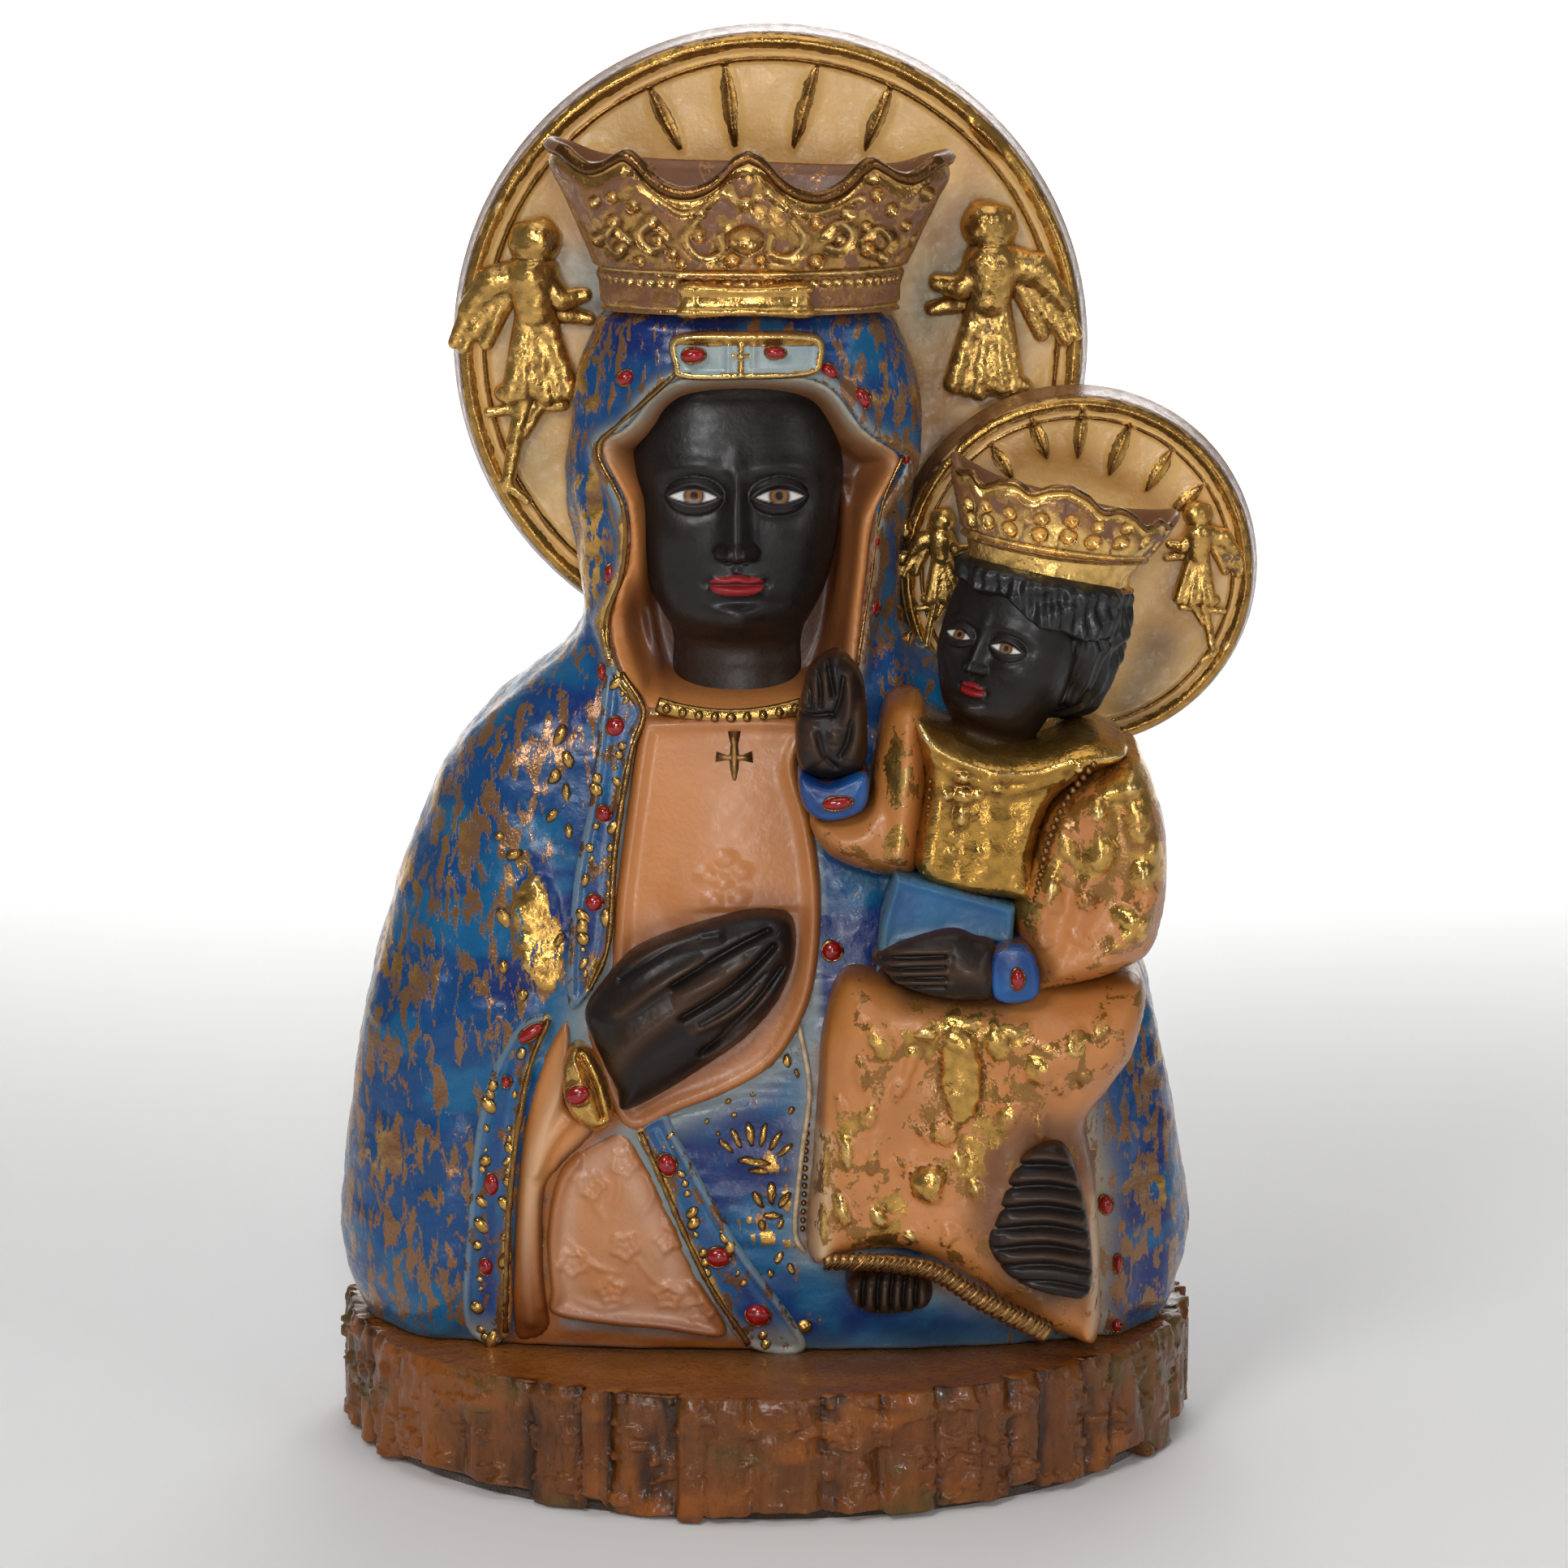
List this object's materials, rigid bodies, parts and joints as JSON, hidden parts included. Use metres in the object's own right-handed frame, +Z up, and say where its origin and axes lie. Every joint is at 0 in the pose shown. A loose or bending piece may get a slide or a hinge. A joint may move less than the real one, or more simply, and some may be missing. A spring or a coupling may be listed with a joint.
{
  "type": "madonna statue",
  "caption": "Devotional half-figure of a crowned madonna holding a child, with halo discs, on an oval bark-textured base.",
  "frame": {"origin": "on the underside of the base pad, below the middle of the figure", "axes": "+Z up, the figure looks towards -Y, +X is at the viewer's right"},
  "size_m": [0.1976, 0.114, 0.3007],
  "materials": {
    "blue_paint": "satin blue paint on cast resin, brushed with gold",
    "peach_resin": "waxy satin cast resin with airbrushed shading",
    "ivory_resin": "waxy ivory cast resin",
    "gold_paint": "metallic gold paint on cast resin, worn in the hollows",
    "dark_paint": "satin near-black paint on cast resin",
    "red_paint": "glossy red paint dots",
    "bark_paint": "glazed brown paint on cast resin bark",
    "felt": "thin felt"
  },
  "bodies": {
    "root": {"mantle": "blue_paint", "front_border": "blue_paint", "sleeve_border": "blue_paint", "lower_border": "blue_paint", "child_book": "blue_paint", "child_left_cuff": "blue_paint", "child_right_cuff": "blue_paint", "dress_front": "peach_resin", "dress_skirt": "peach_resin", "sleeve_lining": "peach_resin", "veil_lining": "peach_resin", "child_robe": "peach_resin", "child_left_sleeve": "peach_resin", "child_right_sleeve": "peach_resin", "halo": "ivory_resin", "child_halo": "ivory_resin", "crown": "gold_paint", "crown_plaque": "gold_paint", "brow_plate": "gold_paint", "necklace": "gold_paint", "pendant_cross": "gold_paint", "right_cuff": "gold_paint", "child_crown": "gold_paint", "child_tunic": "gold_paint", "robe_hem": "gold_paint", "angel_left": "gold_paint", "angel_right": "gold_paint", "child_angel_left": "gold_paint", "child_angel_right": "gold_paint", "head": "dark_paint", "right_hand": "dark_paint", "child_head": "dark_paint", "child_hair": "dark_paint", "child_right_hand": "dark_paint", "child_left_hand": "dark_paint", "child_foot": "dark_paint", "left_hand": "dark_paint", "base_block": "bark_paint", "base_pad": "felt"}
  },
  "joints": []
}
